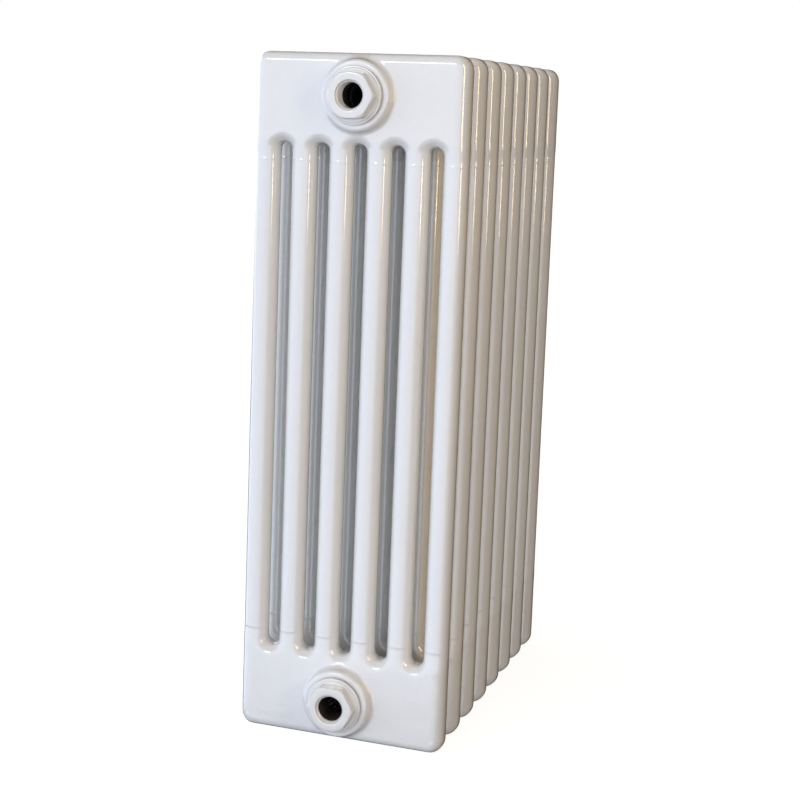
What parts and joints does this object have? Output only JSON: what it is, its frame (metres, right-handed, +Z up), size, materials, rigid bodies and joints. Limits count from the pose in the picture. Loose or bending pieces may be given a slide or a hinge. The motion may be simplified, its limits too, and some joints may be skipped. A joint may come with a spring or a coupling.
{
  "type": "sectional column radiator",
  "caption": "Legless sectional cast iron column radiator with round-ended air slots, joined by hub nipples, with hexagonal reducing bushes at the corner tappings.",
  "frame": {"origin": "on the underside plane, below the middle of the whole assembly", "axes": "+X across the columns of a section, +Y along the row of sections from the pictured end to the far end, +Z up"},
  "size_m": [0.2172, 0.43, 0.681],
  "materials": {
    "enamel": "white gloss enamel over cast iron",
    "fitting_enamel": "white gloss paint over malleable iron",
    "nipple_iron": "dark machined malleable iron",
    "gasket_fibre": "dark compressed fibre sheet"
  },
  "bodies": {
    "root": {"section_1": "enamel", "section_2": "enamel", "section_3": "enamel", "section_4": "enamel", "section_5": "enamel", "section_6": "enamel", "section_7": "enamel", "section_8": "enamel", "nipple_bottom_1": "nipple_iron", "nipple_bottom_2": "nipple_iron", "nipple_bottom_3": "nipple_iron", "nipple_bottom_4": "nipple_iron", "nipple_bottom_5": "nipple_iron", "nipple_bottom_6": "nipple_iron", "nipple_bottom_7": "nipple_iron", "nipple_top_1": "nipple_iron", "nipple_top_2": "nipple_iron", "nipple_top_3": "nipple_iron", "nipple_top_4": "nipple_iron", "nipple_top_5": "nipple_iron", "nipple_top_6": "nipple_iron", "nipple_top_7": "nipple_iron", "hub_gasket_bottom_1": "gasket_fibre", "hub_gasket_bottom_2": "gasket_fibre", "hub_gasket_bottom_3": "gasket_fibre", "hub_gasket_bottom_4": "gasket_fibre", "hub_gasket_bottom_5": "gasket_fibre", "hub_gasket_bottom_6": "gasket_fibre", "hub_gasket_bottom_7": "gasket_fibre", "hub_gasket_top_1": "gasket_fibre", "hub_gasket_top_2": "gasket_fibre", "hub_gasket_top_3": "gasket_fibre", "hub_gasket_top_4": "gasket_fibre", "hub_gasket_top_5": "gasket_fibre", "hub_gasket_top_6": "gasket_fibre", "hub_gasket_top_7": "gasket_fibre", "bush_gasket_front_bottom": "gasket_fibre", "bush_gasket_front_top": "gasket_fibre", "bush_gasket_back_bottom": "gasket_fibre", "bush_gasket_back_top": "gasket_fibre", "bush_front_bottom": "fitting_enamel", "bush_front_top": "fitting_enamel", "bush_back_bottom": "fitting_enamel", "bush_back_top": "fitting_enamel"}
  },
  "joints": []
}
